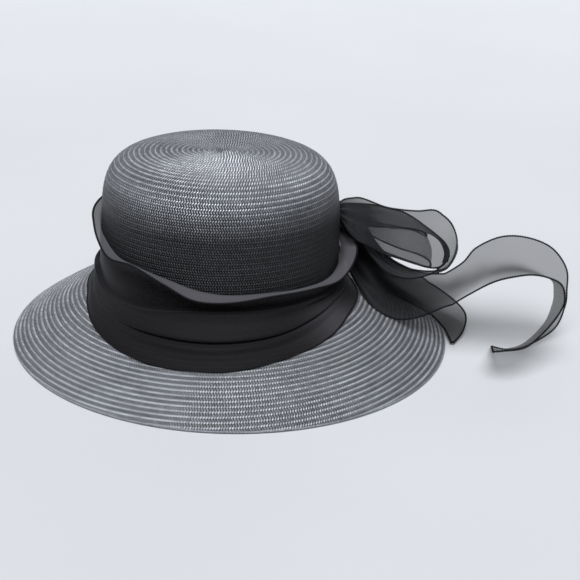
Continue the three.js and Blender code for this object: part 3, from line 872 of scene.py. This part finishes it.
# Threads along the cloth's edges, overlocked, so that they look like small beads
def thread_along(line, closed=False):
    if closed:
        line = np.vstack([line, line[:1]])
    run = run_along(line)
    count = max(int(run[-1] / (THREAD_BEAD / BEAD_STEPS)), SHORT_THREAD_STEPS)
    place = np.linspace(0, run[-1], count + 1)
    middle = np.stack([np.interp(place, run, line[:, axis]) for axis in range(3)], -1)
    along = unit(np.gradient(middle, axis=0))
    side = unit(np.cross(along, THREAD_UPRIGHT))
    up = np.cross(side, along)
    radius = THREAD * (BEAD_NECK + BEAD_SWELL * np.abs(np.sin(np.pi * place / THREAD_BEAD)))
    turn = TURN * np.arange(THREAD_SIDES)[None, :, None] / THREAD_SIDES
    ring = np.cos(turn) * side[:, None] + np.sin(turn) * up[:, None]
    grid = middle[:, None] + ring * radius[:, None, None]
    start = np.arange(count)[:, None] * THREAD_SIDES
    corner = np.arange(THREAD_SIDES)[None, :]
    next_corner = (corner + 1) % THREAD_SIDES
    near, near_next = start + corner, start + next_corner
    faces = np.stack([near, near_next, near_next + THREAD_SIDES, near + THREAD_SIDES], -1).reshape(-1, 4)
    uv = flat_grid(place, corner[0] / THREAD_SIDES)
    return grid.reshape(-1, 3), faces, uv[faces]


def make_edges(name, lines, closed=False):
    threads = joined([thread_along(line, closed) for line in lines])
    return finished(new_piece(name, *threads, EDGE_THREAD), None)


def cloth_uv(grid, faces, ring=False):
    """Places on the cloth in millimetres, along and across it, and its flat size in metres."""
    run = run_along(grid[:, grid.shape[1] // 2])
    width = run_along(grid)[:, -1].mean()
    uv = flat_grid(run, np.linspace(0, width, grid.shape[1]))[faces]
    if ring:
        wrap = faces[:, 1] < faces[:, 0]
        uv[wrap, 1:3, 0] += run[-1] + (run[-1] - run[-2])
    return uv, (round(width / MM_PER_M, 3), round(run[-1] / MM_PER_M, 3))


# Band
def band_sections(angles):
    degrees = np.degrees(angles)
    count = len(BAND_ROWS)
    around = []
    for place in range(-2, count + 2):
        row = BAND_ROWS[place % count].copy()
        row[0] += 360 * (place // count)
        around.append(row)
    at, *columns = np.array(around).T
    here = {name: smooth_value(at, column, degrees) for name, column in zip(BAND_COLUMNS[1:], columns)}
    close = CLOTH_GAP + CLOTH_WALL / 2
    section = []
    for start, end, share, flare, roll in WALL_POINTS:
        height = BRIM_DROP + BAND_RISE * (here[start] + (here[end] - here[start]) * share)
        offset = close + BAND_SPREAD * (here["flare"] * flare + here["roll"] * roll)
        section.append(beside_crown(angles, height, offset))
    over_brim = [
        (here["gap"] + past - under * here["tuck"], laid + (tucked - laid) * here["tuck"])
        for past, under, laid, tucked in BRIM_POINTS
    ]
    hem = (np.ones_like(degrees), np.zeros_like(degrees))
    for place, lift in [*over_brim, hem]:
        share = here["hem"] * place
        height = brim_height(share) + close * BAND_OVER_BRIM + BAND_RISE * lift
        section.append(brim_point(angles, share, height))
    return np.stack(section, 1)


def near_place(angles, place, width, amount):
    """The amount at a place round the crown, in degrees, fading to 0 on both sides of it."""
    away = np.mod(angles - math.radians(place) + math.pi, TURN) - math.pi
    return amount * np.exp(-((away / math.radians(width)) ** 2))[:, None]


def make_band():
    angles = math.radians(BAND_ROWS[0][0]) + angle_grid(BAND_TURN_POINTS)[:, 0]
    grid = centripetal(band_sections(angles), BAND_STEPS)
    faces = grid_faces(*grid.shape[:2], ring=True)
    uv, flat = cloth_uv(grid, faces, ring=True)
    cloth = new_piece("band_cloth", grid.reshape(-1, 3), faces, uv, BAND_CLOTH)
    run = run_along(grid)
    down = run / run[:, -1:]
    # painted sheen: a mark below nought thins the cloth and paints it paler along the flare, low at the
    # right and high at the left
    flare = BAND_THINNEST_PAINTED_SHEEN * np.clip((FLARE_PAINTED_SHEEN_END - run) / FLARE_PAINTED_SHEEN_FADE, 0, 1)
    right = near_place(angles, *BAND_PAINTED_SHEEN_RIGHT) * down
    left = near_place(angles, *BAND_PAINTED_SHEEN_LEFT) * (1 - down)
    mark_points(cloth, -np.minimum(flare + right + left, BAND_THINNEST_PAINTED_SHEEN))
    finished(cloth, "band")
    edges = make_edges("band_edges", [grid[:, 0], grid[:, -1]], closed=True)


make_band()


# Ribbons
def ribbon_grid(rows, strips):
    rows = np.array(rows, float)
    ends = np.vstack([rows[:1], rows, rows[-1:]])
    places = np.arange(-1, len(rows) + 1)
    place = np.arange((len(rows) - 1) * STATION_STEPS + 1) / STATION_STEPS
    *selvedges, cup = (smooth_value(places, column, place) for column in ends.T)
    edges = []
    for out, side, lift in (selvedges[:3], selvedges[3:]):
        x = CROWN_LENGTH / 2 + BOW_REACH * out
        y = KNOT_SIDE + RIBBON_WIDTH * side
        edges.append(np.stack([x, y, height_under(x, y) + BOW_LIFT * lift], -1))
    far, near = edges
    arch = unit(np.cross(np.gradient(far + near, axis=0), far - near))
    share = np.linspace(0, 1, strips + 1)[None, :, None]
    cupped = (RIBBON_WIDTH * cup)[:, None, None] * np.sin(np.pi * share)
    return far[:, None] + (near - far)[:, None] * share + arch[:, None] * cupped


def near_knot(grid, ends, reach, power):
    """1 at the chosen ends of a ribbon, fading to 0 with the distance along it."""
    run = run_along(grid[:, grid.shape[1] // 2])
    near = np.zeros(len(run))
    for end in ends:
        distance = run if end == "start" else run[-1] - run
        near = np.maximum(near, np.exp(-((distance / reach) ** power)))
    return near[:, None]


def pleat_wave(grid, pleats):
    share = np.linspace(0, 1, grid.shape[1])[None, :]
    return np.sin(TURN * pleats * share + PLEAT_UNEVENNESS * np.sin(TURN * share))


def gathered(grid, ends, pleats, depth, reach):
    """The ribbon with pleats that fade away from the knot."""
    height = depth * near_knot(grid, ends, reach, 1) * pleat_wave(grid, pleats)
    return grid + surface_normals(grid) * height[..., None]


def gathering_and_painted_shading(grid, ends, pleats, laid, squeezed, reach):
    """How far the cloth is gathered: squeezed at the knot, and as it is laid elsewhere."""
    near = near_knot(grid, ends, reach, 2)
    wave = 0.5 + 0.5 * pleat_wave(grid, pleats)
    gather = near * (1 - PLEAT_OPENING * wave * (1 - near))
    return laid + (squeezed - laid) * gather


# painted shade and light: patches that make ribbon cloth denser and darker, or thinner and paler
def with_painted_light_and_shade(amount, stations, painted_light_and_shade):
    station = np.linspace(0, stations - 1, amount.shape[0])[:, None]
    share = np.linspace(0, 1, amount.shape[1])[None, :]
    for at, across, stations_wide, share_wide, change in painted_light_and_shade:
        away = ((station - at) / stations_wide) ** 2 + ((share - across) / share_wide) ** 2
        amount = amount + change * np.exp(-away)
    return amount


def make_ribbon(name, rows, ends, depth, thickness,
                pleats=4, reach=26, end_hem=False, fold=None, painted_light_and_shade=()):
    grid = gathered(ribbon_grid(rows, RIBBON_STRIPS), ends, pleats, depth, reach)
    faces = grid_faces(*grid.shape[:2])
    uv, flat = cloth_uv(grid, faces)
    cloth = new_piece(f"{name}_cloth", grid.reshape(-1, 3), faces, uv, BOW_CLOTH)
    mark_points(cloth, with_painted_light_and_shade(gathering_and_painted_shading(grid, ends, pleats, *thickness), len(rows), painted_light_and_shade))
    finished(cloth, f"bow_{name}")
    lines = [grid[:, 0], grid[:, -1]]
    if fold:
        turned = ribbon_grid(fold, FOLD_STRIPS)
        turned_faces = grid_faces(*turned.shape[:2])
        turned_uv, _ = cloth_uv(turned, turned_faces)
        piece = new_piece(f"{name}_fold", turned.reshape(-1, 3), turned_faces, turned_uv, BOW_CLOTH)
        mark_points(piece, np.minimum(gathering_and_painted_shading(turned, ends, pleats, *thickness) + FOLD_CROWDING, 1))
        finished(piece, None)
        lines.append(turned[:, 0])
    if end_hem:
        lines.append(grid[-1])
    edges = make_edges(f"{name}_edges", lines)


# Thickness is how crowded the cloth is where it is laid and where it is squeezed, and how
# far from the knot that reaches. Depth and reach are the pleats', also in millimetres.
make_ribbon("upper_loop", UPPER_LOOP, ("start", "end"),
            depth=1.5, thickness=(0.0, 0.9, 34.0), fold=UPPER_FOLD, painted_light_and_shade=UPPER_PAINTED_LIGHT_AND_SHADE)
make_ribbon("inner_loop", INNER_LOOP, ("start", "end"),
            depth=0.8, thickness=(-0.5, 0.5, 30.0))
make_ribbon("swirl", SWIRL, ("start",),
            depth=2.6, thickness=(-0.25, 0.95, 85.0), pleats=3, reach=45, end_hem=True,
            painted_light_and_shade=SWIRL_PAINTED_LIGHT_AND_SHADE)
make_ribbon("lower_tail", LOWER_TAIL, ("start",),
            depth=1.5, thickness=(0.0, 0.9, 50.0), end_hem=True)


# Knot: a short gathered wrap
def make_knot():
    lean = math.asin(KNOT_SIDE / (CROWN_WIDTH / 2))
    centre_x = CROWN_LENGTH / 2 * math.cos(lean) + KNOT_STANDOFF + KNOT_DEPTH / 2
    centre_z = BRIM_DROP + KNOT_LIFT
    angle = angle_grid(KNOT_TURN_POINTS)
    rise = np.sin(np.linspace(-math.pi / 2, math.pi / 2, KNOT_PROFILE_POINTS))[None, :]
    folded = 1 + sum(depth * np.cos(folds * angle + slant * rise) for depth, folds, slant in KNOT_FOLDS)
    waist = folded * np.sqrt(np.maximum(0, 1 - rise**4))
    grid = stacked(
        centre_x + KNOT_DEPTH / 2 * waist * np.cos(angle),
        KNOT_SIDE + KNOT_WIDTH / 2 * waist * np.sin(angle),
        centre_z + KNOT_LENGTH / 2 * rise,
    )
    faces = grid_faces(*grid.shape[:2], ring=True)
    uv, _ = cloth_uv(grid, faces, ring=True)
    points = grid.reshape(-1, 3)
    piece = new_piece("knot_wrap", points, *real_faces(points, faces, uv), BAND_CLOTH)
    finished(piece, "bow_knot")


make_knot()


# Floor and light, in metres. The floor is a little below the hat's foot.
FLOOR_REACH = 6.0
FLOOR_LEVEL = -0.0005


def make_floor():
    mesh = bpy.data.meshes.new("floor")
    sides = ((-1, -1), (1, -1), (1, 1), (-1, 1))
    corners = [(x * FLOOR_REACH, y * FLOOR_REACH, FLOOR_LEVEL) for x, y in sides]
    mesh.from_pydata(corners, [], [(0, 1, 2, 3)])
    look = Shader("floor")
    tone = look.noise(look.node("ShaderNodeTexCoord").outputs["Object"], scale=3.0)
    colour = look.mix_colour(tone, (0.37, 0.37, 0.375, 1), (0.4, 0.4, 0.405, 1))
    look.set(Base_Color=colour, Roughness=0.85, Specular_IOR_Level=0.2)
    mesh.materials.append(look.material)
    floor = bpy.data.objects.new("floor", mesh)
    bpy.context.scene.collection.objects.link(floor)


def make_sun(name, towards, strength, width, colour):
    """A broad soft light from far off, so the floor is lit evenly."""
    data = bpy.data.lights.new(name, "SUN")
    data.energy = strength
    data.angle = math.radians(width)
    data.color = colour
    light = bpy.data.objects.new(name, data)
    light.rotation_euler = Vector(towards).to_track_quat("Z", "Y").to_euler()
    bpy.context.scene.collection.objects.link(light)


def make_panel(name, place, aim, size, power, colour):
    data = bpy.data.lights.new(name, "AREA")
    data.shape = "RECTANGLE"
    data.size, data.size_y = size
    data.energy = power
    data.color = colour
    light = bpy.data.objects.new(name, data)
    turn = (Vector(aim) - Vector(place)).to_track_quat("-Z", "Y").to_matrix().to_4x4()
    light.matrix_world = Matrix.Translation(Vector(place)) @ turn
    bpy.context.scene.collection.objects.link(light)


def make_world(colour, strength):
    world = bpy.data.worlds.new("world")
    world.use_nodes = True
    background = world.node_tree.nodes["Background"]
    background.inputs["Color"].default_value = colour
    background.inputs["Strength"].default_value = strength
    bpy.context.scene.world = world


make_floor()
make_world(colour=(0.86, 0.91, 1.0, 1), strength=0.16)
make_sun("overhead", towards=(0.0, -0.42, 1.0), strength=6.1, width=44, colour=(0.93, 0.96, 1))
make_panel("back_panel", place=(0.2, 2.2, 1.5), aim=(0.0, 0.7, 0.0), size=(3.2, 1.2),
           power=18, colour=(0.97, 0.98, 1))

bpy.context.scene.view_settings.view_transform = "Standard"
